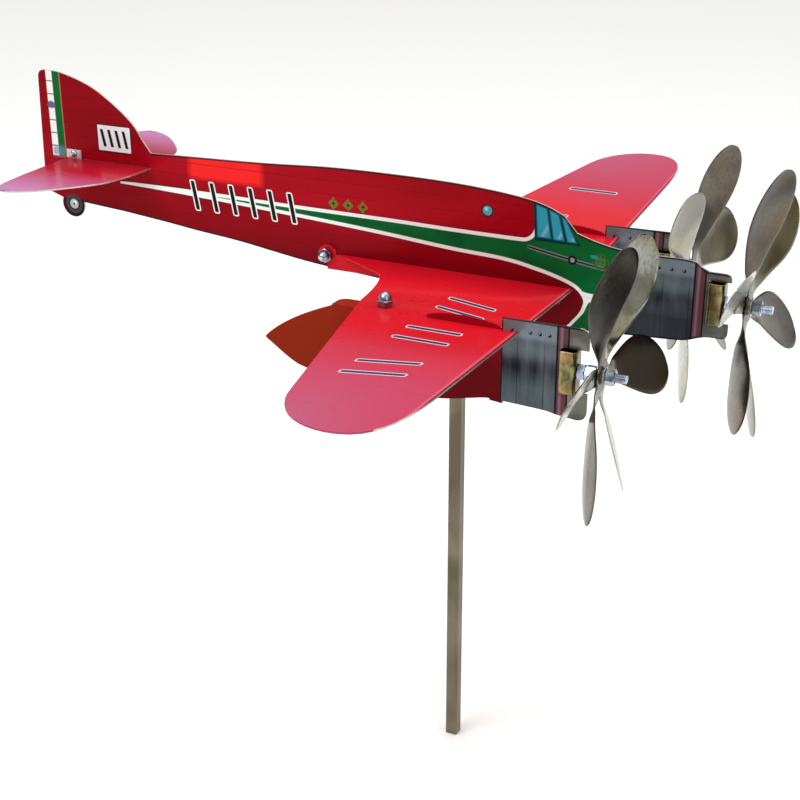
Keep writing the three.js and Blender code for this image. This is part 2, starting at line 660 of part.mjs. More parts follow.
function addAircraft(parent) {
  const aircraft = group(parent, 0, 0, WING_HEIGHT);
  aircraft.add(piece('bearing_block', bearingBlock(), material(0x9aa0a4, 0.4, 0.8)));
  aircraft.add(piece('fuselage_plate', uprightPlate(fuselageShape(), PLATE, 6), enamel()));
  aircraft.add(piece('tailplane', tailplane(), enamel()));
  const tailRivet = piece('tailplane_rivet', rivet(1.5, PLATE + 2 * (GAP + EAR.thickness + GAP)), zinc());
  tailRivet.rotation.z = Math.PI / 2;
  tailRivet.position.set(TAIL_RIVET.x, 0, TAIL_RIVET.z);
  aircraft.add(tailRivet);

  const blockGrip = BLOCK_WIDTH / 2 + GAP;
  addCrossBolt(aircraft, 'block_rear', M4, -BLOCK_BOLT_X, BLOCK_BOLT_Z, blockGrip);
  addCrossBolt(aircraft, 'block_front', M4, BLOCK_BOLT_X, BLOCK_BOLT_Z, blockGrip);
  const wingGrip = WING_ROOT_Y + SHEET + GAP;
  for (const bolt of WING_BOLTS) addCrossBolt(aircraft, `wing_${bolt.name}`, M6, bolt.x, bolt.z, wingGrip);

  for (const side of SIDES) {
    aircraft.add(piece(`wing_${side.name}`, wing(side.sign), enamel()));
    addNacelle(aircraft, side);
  }
  for (const engine of ENGINES) addEngine(aircraft, engine);
}

const whirligig = new THREE.Group();
addPole(whirligig);
addAircraft(whirligig);

export default whirligig;
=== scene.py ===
"""Looks of the three-engined wind spinner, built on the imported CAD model.

Everything is in metres in the CAD frame: +X to the nose, +Y to the port wing, +Z up, origin at the
pole's bottom end. Printed artwork is laid out in millimetres in the aeroplane's own frame, whose
origin is on the pole's axis at the height of the wing roots.
"""
import math

import bmesh
import bpy
from mathutils import Matrix, Vector


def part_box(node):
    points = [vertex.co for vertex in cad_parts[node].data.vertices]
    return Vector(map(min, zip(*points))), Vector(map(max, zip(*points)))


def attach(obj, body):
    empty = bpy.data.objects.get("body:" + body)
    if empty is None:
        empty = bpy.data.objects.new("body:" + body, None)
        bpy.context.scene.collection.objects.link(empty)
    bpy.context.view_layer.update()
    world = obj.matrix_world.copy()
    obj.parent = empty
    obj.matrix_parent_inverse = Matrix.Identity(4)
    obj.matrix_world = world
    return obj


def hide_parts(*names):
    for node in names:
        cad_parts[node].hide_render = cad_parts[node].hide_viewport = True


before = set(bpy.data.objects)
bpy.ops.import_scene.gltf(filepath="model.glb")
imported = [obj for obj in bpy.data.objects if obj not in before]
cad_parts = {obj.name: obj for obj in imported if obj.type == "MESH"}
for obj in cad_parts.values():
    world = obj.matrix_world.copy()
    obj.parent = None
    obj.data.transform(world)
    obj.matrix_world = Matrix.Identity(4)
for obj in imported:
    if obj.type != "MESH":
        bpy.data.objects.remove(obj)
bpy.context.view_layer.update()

# ------------------------------------------------------------------ driving sizes
MM = 0.001
WING_HEIGHT = 415.0             # wing root plane above the pole's bottom end, mm
ENGINE_Y = 109.8
DIHEDRAL = math.radians(3.25)

NOSE_X, NOSE_Z = 199.5, 6.5     # front face and axle height of the nose engine's mount
OUTER_X, OUTER_Z = 131.5, -14.0
ENGINES = {                     # x, y, z of the mount's front face, angles of the rear and front blades
    "nose": (NOSE_X, 0.0, NOSE_Z, 54.0, -4.0),
    "starboard": (OUTER_X, -ENGINE_Y, OUTER_Z, 40.0, -16.0),
    "port": (OUTER_X, ENGINE_Y, OUTER_Z, 80.0, 20.0),
}

ROTOR_RADIUS = 100.0
BLADE_SHEET = 1.0
BLADE_PITCH = math.radians(24.0)
REAR_CONE, FRONT_CONE = 10.0, 18.0           # how far each stamping's tips lean forward
BLADE_ROOT = 8.0                             # radius at which a blade starts, inside the hub disc
LEAN_START = 20.0                            # radius at which a blade starts to lean forward
BLADE_CUP = 0.075                            # rise of a blade's sides, as a share of its half width
HUB_RADIUS, HUB_BORE = 11.0, 4.9
REAR_STAMPING, FRONT_STAMPING = 15.0, 16.4   # middle planes, ahead of the mount's face

MOUNT_WIDTH, MOUNT_DEPTH, MOUNT_HEIGHT = 14.0, 12.0, 30.0
MOUNT_WALL, MOUNT_CORNER = 1.2, 2.6

# Screws: shank radius, width across flats, radius of the nut's hole, thread pitch, height of the head.
M6 = {"radius": 3.0, "flats": 10.0, "hole": 3.3, "pitch": 1.0, "head": 4.0}
M4 = {"radius": 2.0, "flats": 7.0, "hole": 2.3, "pitch": 0.7, "head": 2.8}
SHANK_SUNK, SHANK_PLAIN = 0.2, 1.0     # a shank starts this far inside its head, and its thread here
NUT_CREASE = 25.0                      # a nut's edges stay sharp over this many degrees

# Nuts on each axle: distance ahead of the mount's face, thickness, and turn in degrees.
AXLE_NUTS = {"clamp_nut": (0.3, 5.0, 8.0), "spacer_nut": (5.6, 7.0, 21.0), "lock_nut": (19.2, 6.0, 37.0)}
AXLE_SEAT, AXLE_LENGTH = -1.5, 34.5    # place of the head's seat from the mount's face, and the shank

# Bolts through the wings and the nacelles' folded tabs, in the leaning wing's own frame.
NACELLE_BOLT_X, NACELLE_BOLT_Y = -12.0, 102.4
NACELLE_NUT_SEAT, NACELLE_HEAD_SEAT = 0.9, -2.7
NACELLE_NUT_HEIGHT, NACELLE_SHANK = 10.2, 10.8

# Camera: place in metres, and its heading, tilt down and roll in degrees.
CAMERA_PLACE = (0.4067, -0.9668, 0.7832)
CAMERA_AZIMUTH, CAMERA_ELEVATION, CAMERA_ROLL = 25.24, 24.25, -0.25
CAMERA_LENS = 66.9

# ------------------------------------------------------------------ colours
RED = (0.31, 0.002, 0.008)
RED_BRIGHT = (0.60, 0.004, 0.012)
RED_DEEP = (0.13, 0.001, 0.004)
RED_LIGHT = (0.50, 0.008, 0.022)
# Painted reflection: the next three colours stand for surroundings mirrored in the wings' and tailplane's
# gloss.
ROSE_REFLECTION = (0.43, 0.035, 0.085)
MAUVE_REFLECTION = (0.42, 0.17, 0.36)
DUSKY_REFLECTION = (0.38, 0.075, 0.15)
GREEN = (0.004, 0.115, 0.026)
GREEN_DEEP = (0.0, 0.05, 0.015)
LEAF_GREEN = (0.05, 0.22, 0.02)
WHITE = (0.78, 0.80, 0.78)
WHITE_WORN = (0.62, 0.52, 0.56)
INK = (0.008, 0.008, 0.012)
NAVY = (0.02, 0.025, 0.08)
CYAN = (0.03, 0.30, 0.42)
CYAN_DARK = (0.01, 0.10, 0.14)
EDGE = (0.62, 0.55, 0.50)
PLUM = (0.11, 0.04, 0.055)
COWL_GREY = (0.062, 0.084, 0.10)
COWL_LIGHT = (0.15, 0.175, 0.21)
COWL_DARK = (0.012, 0.013, 0.022)
BARE_METAL = (0.17, 0.165, 0.15)


# ------------------------------------------------------------------ shader arithmetic
class Field:
    """A number that varies over a surface. Plain arithmetic on it adds math nodes to its node tree."""

    def __init__(self, tree, socket):
        self.tree = tree
        self.socket = socket

    def math(self, operation, *others, clamp=False):
        node = self.tree.nodes.new("ShaderNodeMath")
        node.operation = operation
        node.use_clamp = clamp
        for socket, value in zip(node.inputs, (self, *others)):
            if isinstance(value, Field):
                self.tree.links.new(value.socket, socket)
            else:
                socket.default_value = value
        return Field(self.tree, node.outputs[0])

    def __add__(self, other):
        return self.math("ADD", other)

    def __sub__(self, other):
        return self.math("SUBTRACT", other)

    def __mul__(self, other):
        return self.math("MULTIPLY", other)

    def __truediv__(self, other):
        return self.math("DIVIDE", other)

    def __rsub__(self, other):
        return self * -1.0 + other

    __radd__ = __add__
    __rmul__ = __mul__

    def __and__(self, other):
        return self.math("MULTIPLY", other)

    def __or__(self, other):
        return self.math("MAXIMUM", other)

    def __invert__(self):
        return 1.0 - self

    def above(self, edge, soft=0.3):
        """1 where the number is over the edge and 0 where it is under, with a narrow soft step."""
        return ((self - edge) * (1.0 / soft) + 0.5).math("ADD", 0.0, clamp=True)

    def below(self, edge, soft=0.3):
        """1 where the number is under the edge and 0 where it is over."""
        return ~self.above(edge, soft)

    def between(self, low, high, soft=0.3):
        """1 where the number is between the two edges."""
        return self.above(low, soft) & self.below(high, soft)

    def repeat(self, period):
        """Distance from the middle of the repeat that the number falls in."""
        return ((self / period).math("FRACT") - 0.5) * period

    def curve(self, points):
        """The height at this number of a smooth line through the points (number, height)."""
        xs = [x for x, _ in points]
        ys = [y for _, y in points]
        x0, x1, y0, y1 = min(xs), max(xs), min(ys), max(ys)
        node = self.tree.nodes.new("ShaderNodeFloatCurve")
        line = node.mapping.curves[0]
        places = [((x - x0) / (x1 - x0), (y - y0) / (y1 - y0)) for x, y in sorted(points)]
        line.points[0].location = places[0]
        line.points[1].location = places[-1]
        for place in places[1:-1]:
            line.points.new(*place)
        node.mapping.update()
        share = (self - x0) * (1.0 / (x1 - x0))
        self.tree.links.new(share.math("ADD", 0.0, clamp=True).socket, node.inputs["Value"])
        return Field(self.tree, node.outputs[0]) * (y1 - y0) + y0


def length(a, b):
    """Length of the vector (a, b), so also the distance from the point where both are 0."""
    return (a * a + b * b).math("SQRT")


def corner_distance(right, up, radius):
    """Signed distance to a quarter plane's rounded corner; negative is inside."""
    a = right + radius
    b = up + radius
    outside = length(a.math("MAXIMUM", 0.0), b.math("MAXIMUM", 0.0))
    return outside + a.math("MAXIMUM", b).math("MINIMUM", 0.0) - radius


def box_distance(x, y, centre, half, radius=0.0):
    """Signed distance to a rectangle with rounded corners."""
    right = (x - centre[0]).math("ABSOLUTE") - half[0]
    up = (y - centre[1]).math("ABSOLUTE") - half[1]
    return corner_distance(right, up, radius)


class Paint:
    """One material: a Principled shader whose colour is built up layer by layer."""

    def __init__(self, name, roughness=0.3, metallic=0.0):
        self.material = bpy.data.materials.new(name)
        self.material.use_nodes = True
        self.tree = self.material.node_tree
        self.shader = self.tree.nodes["Principled BSDF"]
        self.shader.inputs["Roughness"].default_value = roughness
        self.shader.inputs["Metallic"].default_value = metallic
        place = self.tree.nodes.new("ShaderNodeTexCoord")
        self.place = place.outputs["Object"]
        self.x, self.y, self.z = self._split(self.place, 1000.0)
        self.z = self.z - WING_HEIGHT
        self.nx, self.ny, self.nz = self._split(place.outputs["Normal"], 1.0)
        self.colour = None

    def _split(self, vector, scale):
        node = self.tree.nodes.new("ShaderNodeSeparateXYZ")
        self.tree.links.new(vector, node.inputs[0])
        return [Field(self.tree, node.outputs[i]) * scale for i in range(3)]

    def noise(self, scale, detail=3.0, stretch=(1.0, 1.0, 1.0), distortion=0.0):
        """Cloudy values from 0 to 1; scale is the number of clouds in a metre."""
        mapping = self.tree.nodes.new("ShaderNodeMapping")
        mapping.inputs["Scale"].default_value = stretch
        self.tree.links.new(self.place, mapping.inputs["Vector"])
        node = self.tree.nodes.new("ShaderNodeTexNoise")
        node.inputs["Scale"].default_value = scale
        node.inputs["Detail"].default_value = detail
        node.inputs["Distortion"].default_value = distortion
        self.tree.links.new(mapping.outputs["Vector"], node.inputs["Vector"])
        return Field(self.tree, node.outputs["Fac"])

    def fill(self, colour):
        """Starts the colour with one flat coat."""
        node = self.tree.nodes.new("ShaderNodeRGB")
        node.outputs[0].default_value = (*colour, 1.0)
        self.colour = node.outputs[0]

    def layer(self, colour, mask, blend="MIX"):
        """Lays a colour over what is there, where the mask is 1."""
        node = self.tree.nodes.new("ShaderNodeMix")
        node.data_type = "RGBA"
        node.blend_type = blend
        self.tree.links.new(mask.math("ADD", 0.0, clamp=True).socket, node.inputs["Factor"])
        self.tree.links.new(self.colour, node.inputs[6])
        node.inputs[7].default_value = (*colour, 1.0)
        self.colour = node.outputs[2]

    def set(self, socket, field):
        """Drives one of the shader's sockets by a number that varies over the surface."""
        self.tree.links.new(field.socket, self.shader.inputs[socket])

    def coat(self, weight, roughness):
        """Clear lacquer over the colour."""
        self.shader.inputs["Coat Weight"].default_value = weight
        self.shader.inputs["Coat Roughness"].default_value = roughness

    def bump(self, height, strength, distance):
        """Fine relief in the shading; distance is in metres."""
        node = self.tree.nodes.new("ShaderNodeBump")
        node.inputs["Strength"].default_value = strength
        node.inputs["Distance"].default_value = distance
        self.tree.links.new(height.socket, node.inputs["Height"])
        self.tree.links.new(node.outputs["Normal"], self.shader.inputs["Normal"])

    def done(self):
        """Hands the colour to the shader and gives the finished material."""
        self.tree.links.new(self.colour, self.shader.inputs["Base Color"])
        return self.material


# ------------------------------------------------------------------ printed sheet metal
def start_print(name, base, light, dark):
    """Enamel ground with slow patches of lighter and darker red, partly random tone and partly painted
    reflection, and fine print grain.
    """
    paint = Paint(name, roughness=0.3)
    paint.fill(base)
    # Painted reflection: the lighter and darker patches stand partly for streaks of mirrored surroundings in
    # the gloss.
    clouds = paint.noise(9.0, 2.0, stretch=(0.5, 1.0, 1.4), distortion=0.4)
    paint.layer(light, clouds.above(0.56, 0.35) * 0.45)
    paint.layer(dark, clouds.below(0.44, 0.35) * 0.55)
    grain = paint.noise(900.0, 3.0)
    paint.layer(dark, grain.above(0.62, 0.3) * 0.18)
    return paint


def finish_print(paint, rim, gloss):
    """Bare cut edge on the rim, small scuffs in the gloss, and the sheet's slight waviness."""
    rim_grain = paint.noise(450.0, 2.0)
    paint.layer(EDGE, rim)
    paint.layer(PLUM, rim & rim_grain.above(0.56, 0.3) * 0.25)
    scuffs = paint.noise(120.0, 5.0, stretch=(0.7, 1.0, 1.0))
    paint.set("Roughness", scuffs * 0.2 + 0.2)
    paint.set("Metallic", rim * 0.8)
    paint.bump(paint.noise(22.0, 2.0) + paint.noise(1400.0, 2.0) * 0.02, 0.25, 0.0015)
    paint.shader.inputs["Specular IOR Level"].default_value = 0.03
    paint.coat(gloss, 0.09)
    return paint.done()


def outlined(paint, distance, fill, line, width):
    """A shape filled with one colour inside a line of another."""
    paint.layer(line, distance.below(width))
    paint.layer(fill, distance.below(0.0))


# Lines of the artwork as points (x, z), but LOWER_NOSE as points (z, x).
FUSELAGE_TOP = [
    (-270, 61), (-240, 62.4), (-167, 65), (-104, 68.3), (-50, 69), (-10, 68.4), (22, 66.6),
    (51, 63.4), (68, 59.4), (80.5, 54), (90.5, 42.6), (105, 38.2), (122, 35), (140, 34.2),
    (173, 34.2), (181, 30.5), (187, 27.8), (204, 27.6),
]
FUSELAGE_BOTTOM = [
    (-338, 13.2), (-297, 10), (-256, 6), (-226, 2.6), (-188, -1), (-126, -9.3), (-66, -14),
    (0, -19.6), (14, -20.6), (32, -24.4), (52, -30.4), (75, -31.5), (110, -29), (155, -26.6),
    (173, -25), (182, -22), (204, -20),
]
STRIPE_TOP = [(-300, 34.6), (-234, 36), (-131, 35.2), (-65, 35), (34, 34.1), (60, 35)]
LOWER_NOSE = [
    (-30, 84), (-23.5, 89.7), (-13, 96.4), (-4, 96), (4.2, 84.3), (10.6, 60), (14.8, 34),
    (16.6, -2), (21.4, -65), (25.5, -131), (31, -234), (33.4, -300),
]
LOWER_TOP = [
    (-300, 33.4), (-234, 31), (-131, 25.5), (-65, 21.4), (-2, 16.6), (34, 14.8), (60, 10.6),
    (84.3, 4.2), (92, 0.5), (96, -4),
]
STRIPE_REAR, STRIPE_FRONT = -299.0, 97.0
STRIPE_BORDER = 2.9
SILL_LEVEL, ROOF_LEVEL = 34.0, 54.0     # heights at which the window posts' places are given
OFF_THE_EDGE = 90.0                     # added to a distance where no edge line is wanted


def plank_lines(paint, along, spacing, strength):
    """Broken dark joints at this spacing, as between planks."""
    lines = along.repeat(spacing).math("ABSOLUTE").below(0.35, 0.5)
    broken = paint.noise(60.0, 3.0, stretch=(0.4, 1.0, 1.0)).above(0.42, 0.2)
    paint.layer(RED_DEEP, lines & broken * strength)


def stripes(paint):
    """Green stripe between two white borders, widening forward over the nose."""
    x, z = paint.x, paint.z
    upper_red = corner_distance(x - 58.5, x.curve(STRIPE_TOP) - z, 9.0)
    above = z - x.curve(LOWER_TOP)
    ahead = x - z.curve(LOWER_NOSE)
    size = (above * ahead / (length(above, ahead) + 0.01)).math("ABSOLUTE")
    inside = above.below(0.0, 0.01) & ahead.below(0.0, 0.01)
    lower_red = size * (1.0 - inside * 2.0)
    between = upper_red.above(0.0) & lower_red.above(0.0) & x.above(STRIPE_REAR)
    paint.layer(GREEN, between)
    patches = paint.noise(30.0, 3.0).above(0.55, 0.3)
    paint.layer(GREEN_DEEP, between & patches * 0.6)
    border = upper_red.between(0.0, STRIPE_BORDER) | lower_red.between(0.0, STRIPE_BORDER)
    under_roof = z.below(52.5)
    paint.layer(WHITE, border & between & under_roof)
    hairline = upper_red.between(-0.7, 0.0) | lower_red.between(-0.7, 0.0)
    paint.layer(INK, hairline & x.between(STRIPE_REAR, STRIPE_FRONT) & under_roof * 0.55)


def side_marks(paint):
    """A row of slanted outlined bars on the fuselage's side, and three diamonds ahead of it."""
    x, z = paint.x, paint.z
    middle_x, middle_z, lean = -184.0, 32.0, 0.18
    half_row, spacing = 53.0, 17.5
    slanted = x + (z - middle_z) * lean - middle_x
    row = slanted.between(-half_row, half_row)
    bar = box_distance(slanted.repeat(spacing), z, (0.0, middle_z), (1.7, 11.6), 0.6)
    paint.layer(WHITE, row & bar.below(1.0))
    paint.layer(INK, row & bar.below(0.0))
    for i in range(3):
        across = (x + 104.0 - i * 12.5).math("ABSOLUTE")
        up = (z - 40.6).math("ABSOLUTE")
        diamond = across + up * 0.9
        paint.layer(LEAF_GREEN, diamond.below(4.4) & paint.noise(420.0, 2.0).above(0.42, 0.25))
        paint.layer(RED_DEEP, diamond.below(1.4))


def pane_shape(x, z, rear, front, sill):
    """Distance into a window: raked posts, each (x at SILL_LEVEL, x at ROOF_LEVEL), and a level sill."""
    share = (z - SILL_LEVEL) * (1.0 / (ROOF_LEVEL - SILL_LEVEL))
    behind = x - (share * (rear[1] - rear[0]) + rear[0])
    ahead = (share * (front[1] - front[0]) + front[0]) - x
    over = z - sill
    return behind.math("MINIMUM", ahead).math("MINIMUM", over)


def cockpit(paint):
    """Three raked panes under the roof line, in dark frames, and a porthole behind them."""
    x, z = paint.x, paint.z
    roof = x.curve(FUSELAGE_TOP) - z
    frame_shape = pane_shape(x, z, (59.0, 57.6), (93.5, 76.5), 33.4)
    paint.layer((0.0, 0.035, 0.03), frame_shape.above(0.0))
    panes = [((61.0, 59.6), (71.6, 68.2), 36.0), ((73.4, 69.8), (82.0, 76.6), 35.6),
             ((84.0, 78.4), (91.4, 80.6), 35.2)]
    for rear, front, sill in panes:
        pane = pane_shape(x, z, rear, front, sill).math("MINIMUM", roof - 1.8)
        paint.layer(CYAN_DARK, pane.above(-0.4))
        paint.layer(CYAN, pane.above(0.5, 0.8))
        glint = (x - rear[0] - (z - SILL_LEVEL) * 0.5).between(1.0, 3.6, 1.6)
        paint.layer((0.18, 0.50, 0.58), pane.above(0.8, 0.6) & glint * 0.7)
    porthole = length(x - 22.0, z - 50.8)
    paint.layer(INK, porthole.below(4.6))
    paint.layer((0.08, 0.34, 0.42), porthole.below(3.7))
    paint.layer((0.45, 0.72, 0.75), length(x - 21.0, z - 52.0).below(1.4, 1.0) * 0.8)


def nose_art(paint):
    """A dark rod with a knob, an olive ring and a blue spot, printed under the windscreen."""
    x, z = paint.x, paint.z
    rod = (z - x.curve([(54.0, 28.0), (86.0, 22.6), (112.0, 19.0)])).math("ABSOLUTE")
    shade = x.between(54.0, 112.0, 2.0)
    paint.layer((0.16, 0.20, 0.22), rod.below(1.5) & shade)
    paint.layer(INK, rod.below(0.6) & shade)
    knob = length(x - 88.0, z - 22.4)
    paint.layer(INK, knob.below(3.4))
    paint.layer((0.25, 0.3, 0.3), knob.below(1.8))
    ring = (length(x - 109.0, z - 24.0) - 5.0).math("ABSOLUTE")
    cross = length(x.repeat(3.2), z.repeat(3.2))
    paint.layer((0.10, 0.17, 0.04), length(x - 109.0, z - 24.0).below(6.0) & cross.above(0.9) * 0.6)
    paint.layer((0.02, 0.06, 0.01), ring.below(0.7) * 0.6)
    paint.layer((0.02, 0.30, 0.42), length(x - 104.0, (z - 27.0) * 2.2).below(3.0, 1.0) * 0.7)


def fin_art(paint):
    """White and green bands down the fin's rear edge, and a white panel of slanted bars."""
    x, z = paint.x, paint.z
    fin = z.above(50.0)
    paint.layer(WHITE, fin & x.between(-363.8, -357.8))
    ticks = z.repeat(10.6).math("ABSOLUTE").below(0.5)
    paint.layer(INK, fin & ticks & x.between(-363.8, -357.8) * 0.8)
    blot = length((x + 361.0) * 0.8, z - 92.0).below(3.0, 1.2)
    paint.layer((0.12, 0.10, 0.2), fin & blot)
    paint.layer(GREEN, fin & x.between(-357.5, -351.3))
    paint.layer((0.32, 0.28, 0.10), fin & x.between(-351.1, -350.2) * 0.7)
    bluish = z.between(50.0, 58.0, 4.0) & x.between(-363.0, -351.5)
    paint.layer((0.10, 0.20, 0.28), bluish * 0.75)
    panel = box_distance(x, z, (-301.7, 69.6), (15.6, 10.4), 0.8)
    outlined(paint, panel, (0.74, 0.76, 0.80), INK, 0.9)
    slanted = x + (z - 69.6) * 0.2 + 301.7
    bars = box_distance(slanted.repeat(7.0), z, (0.0, 69.6), (1.4, 7.0), 0.4).below(0.0)
    paint.layer(INK, slanted.between(-13.5, 13.5) & bars)


def tail_wheel_art(paint):
    """The tail wheel is printed on the plate's round lobe."""
    away = length(paint.x + 347.4, paint.z - 10.2)
    paint.layer(INK, away.below(10.4) & paint.z.below(15.0, 1.0))
    paint.layer((0.05, 0.05, 0.055), away.between(5.4, 8.2, 0.8))
    paint.layer((0.42, 0.44, 0.46), away.below(4.2, 0.8))
    paint.layer((0.8, 0.8, 0.82), length(paint.x + 346.6, paint.z - 11.2).below(1.8, 0.8))
    paint.layer(INK, away.below(1.0, 0.6))


def edge_line(paint, inward, width=1.3):
    """Black printed line that follows an edge."""
    paint.layer(INK, inward.below(width, 0.5) * 0.85)


def cowl(paint, rear, ring, bare, top, bottom):
    """Grey engine cowl with rivets, a plum ring ahead of it, and bare metal at the very front.

    The first three numbers are the x at which each starts. Gives how metallic the surface is.
    """
    x, z = paint.x, paint.z
    on_cowl = x.above(rear)
    span = (z - bottom) * (1.0 / (top - bottom))
    paint.layer(COWL_GREY, on_cowl)
    paint.layer(COWL_LIGHT, on_cowl & span.above(0.80, 0.06))
    paint.layer(COWL_DARK, on_cowl & span.between(0.36, 0.60, 0.2))
    paint.layer((0.10, 0.12, 0.14), on_cowl & span.between(0.60, 0.74, 0.1) * 0.8)
    streaks = paint.noise(130.0, 3.0, stretch=(1.0, 1.0, 0.15)).above(0.52, 0.3)
    paint.layer((0.24, 0.28, 0.30), on_cowl & streaks * 0.25)
    seams = x.between(rear, ring) & (x - rear - 1.5).repeat(19.0).math("ABSOLUTE").below(0.35)
    paint.layer(INK, seams & span.below(0.74) * 0.6)
    for share in (0.17, 0.50, 0.67, 0.84):
        rivet_x = rear + (ring - rear) * share
        paint.layer(INK, length(x - rivet_x, z - (top - 8.2)).below(1.3))
        glint = length(x - rivet_x + 0.4, z - (top - 7.8))
        paint.layer((0.3, 0.3, 0.32), glint.below(0.5))
    paint.layer(INK, x.between(rear - 0.5, rear + 0.5) | x.between(ring - 1.4, ring))
    paint.layer(PLUM, x.between(ring, bare))
    paint.layer((0.25, 0.13, 0.15), x.between(ring + 1.2, ring + 3.0, 1.2) * 0.8)
    paint.layer(INK, x.between(bare - 1.2, bare))
    paint.layer(BARE_METAL, x.above(bare))
    paint.layer((0.05, 0.045, 0.04), x.above(bare) & paint.noise(45.0, 2.0).above(0.5, 0.2) * 0.7)
    return x.above(bare) | on_cowl * 0.35


def rim_mask(across):
    """1 on the cut edge of a sheet whose flat faces look along this component of the normal."""
    return across.math("ABSOLUTE").below(0.5, 0.2)


def fuselage_material():
    """The upright plate: red sides, green stripe, windows, marks, tail wheel and the nose's cowl."""
    paint = start_print("printed_fuselage", RED, RED_LIGHT, RED_DEEP)
    x, z = paint.x, paint.z
    highlight = x.between(-232.0, -166.0, 6.0) & z.above(46.0, 4.0)
    paint.layer((0.85, 0.02, 0.02), highlight * 0.85)
    # Painted shade: the sides darken towards the bottom, for the shadow under the wing.
    paint.layer(RED_DEEP, z.below(14.0, 34.0) * 0.75)
    paint.layer(RED_DEEP, z.above(62.0, 20.0) & x.below(-266.0, 8.0) * 0.5)
    plank_lines(paint, z, 10.5, 0.5)
    stripes(paint)
    side_marks(paint)
    cockpit(paint)
    nose_art(paint)
    fin_art(paint)
    tail_wheel_art(paint)
    metal = cowl(paint, 125.0, 178.0, 185.5, 34.0, -25.0)
    paint.layer((0.018, 0.014, 0.022), x.between(125.5, 177.0) & z.below(-4.0, 12.0) * 0.8)
    for step in range(3):
        plate = box_distance(x, z, (128.0, 14.0 - 7.0 * step), (1.6, 1.2), 0.3)
        paint.layer((0.45, 0.36, 0.12), plate.below(0.0))
    spot = box_distance(x, z, (137.0, 9.0), (5.0, 5.5), 1.0)
    paint.layer((0.10, 0.42, 0.70), spot.below(0.0, 1.5) * 0.8)
    body = x.above(-268.0)
    edge_line(paint, (x.curve(FUSELAGE_TOP) - z) * body + (1.0 - body) * OFF_THE_EDGE)
    edge_line(paint, (z - x.curve(FUSELAGE_BOTTOM)) + x.below(-337.0) * OFF_THE_EDGE)
    rim = rim_mask(paint.ny)
    material = finish_print(paint, rim, 0.02)
    paint.set("Metallic", rim * 0.8 | metal * 0.8)
    return material


def nacelle_material():
    """The wing engines' plates: red sides with painted shade below the wing and a painted shade of dark
    brown at the tail, and a cowl.
    """
    paint = start_print("printed_nacelle", RED, RED_LIGHT, RED_DEEP)
    plank_lines(paint, paint.z, 12.0, 0.4)
    # Painted shade: the plate is darker below the wing, where the wing's shadow falls.
    paint.layer((0.075, 0.001, 0.003), paint.z.below(-8.0, 24.0) & paint.x.below(78.0) * 0.8)
    # Painted shade: the tail turns a darker brown red, for the shadow under the wing.
    paint.layer((0.23, 0.018, 0.003), paint.x.below(-34.0, 34.0) * 0.9)
    metal = cowl(paint, 78.0, 117.5, 125.0, 16.0, -48.0)
    edge_line(paint, paint.z + 49.5 + paint.x.below(78.0) * OFF_THE_EDGE)
    edge_line(paint, 15.9 - paint.z, 1.0)
    rim = rim_mask(paint.ny) & paint.x.above(77.0)
    material = finish_print(paint, rim & paint.nz.math("ABSOLUTE").below(0.9985, 0.001), 0.02)
    paint.set("Metallic", rim * 0.5 | metal * 0.8)
    return material


# Starboard wing: the middle y of each pair of slots and its lean. Port wing: middles and half sizes.
PAIRED_SLOTS = {-80.0: 0.3, -145.0: 0.0, -214.0: -0.3}
SLOT_X = 39.0
PAIR_HALF_GAP = 11.16
SINGLE_SLOTS = [((35.5, 206.0), (20.0, 2.0)), ((25.0, 140.0), (10.0, 1.9))]
WING_FRONT = 89.5


def wing_material():
    """The wings' skin: bright red with a painted rose and dusky reflection towards the tips, and printed
    slots.
    """
    paint = start_print("printed_wing", (0.56, 0.006, 0.016), RED_BRIGHT, (0.34, 0.004, 0.01))
    x, y = paint.x, paint.y
    outward = y.math("ABSOLUTE")
    # Painted reflection: rose and dusky tones towards the tips stand for surroundings mirrored in the gloss.
    paint.layer(ROSE_REFLECTION, outward.above(190.0, 90.0) * 0.9)
    paint.layer(DUSKY_REFLECTION, outward.above(262.0, 90.0) & x.below(66.0, 70.0) * 0.8)
    plank_lines(paint, y * 0.98 + x * 0.05, 43.0, 0.2)
    for middle, lean in PAIRED_SLOTS.items():
        slanted = y - middle + (x - SLOT_X) * lean
        pair = slanted.math("ABSOLUTE") - PAIR_HALF_GAP
        outlined(paint, box_distance(x, pair, (SLOT_X, 0.0), (19.0, 1.9), 0.9), NAVY, WHITE_WORN, 1.1)
    for middle, half in SINGLE_SLOTS:
        outlined(paint, box_distance(x, y, middle, half, 0.9), NAVY, WHITE_WORN, 1.1)
    behind_edge = WING_FRONT - x
    edge_line(paint, behind_edge, 1.4)
    paint.layer((0.75, 0.12, 0.18), behind_edge.between(1.6, 3.2, 1.0) * 0.5)
    rim = rim_mask(paint.nz) & rim_mask(paint.ny)
    return finish_print(paint, rim, 0.12)


def tailplane_material():
    """The tailplane's skin, with a painted mauve reflection towards the tips, and a bare fixing tab on top.
    """
    paint = start_print("printed_tailplane", (0.36, 0.006, 0.018), (0.50, 0.012, 0.035), (0.22, 0.003, 0.01))
    outward = paint.y.math("ABSOLUTE")
    # Painted reflection: the mauve towards the tips stands for surroundings mirrored in the gloss.
    paint.layer(MAUVE_REFLECTION, outward.above(64.0, 56.0) * 0.95)
    edge_line(paint, 101.5 - outward, 1.0)
    rim = rim_mask(paint.nz) & paint.z.below(49.9, 0.2)
    ears = paint.z.above(50.2, 0.4)
    paint.layer((0.72, 0.66, 0.62), ears)
    return finish_print(paint, rim | ears * 0.6, 0.16)


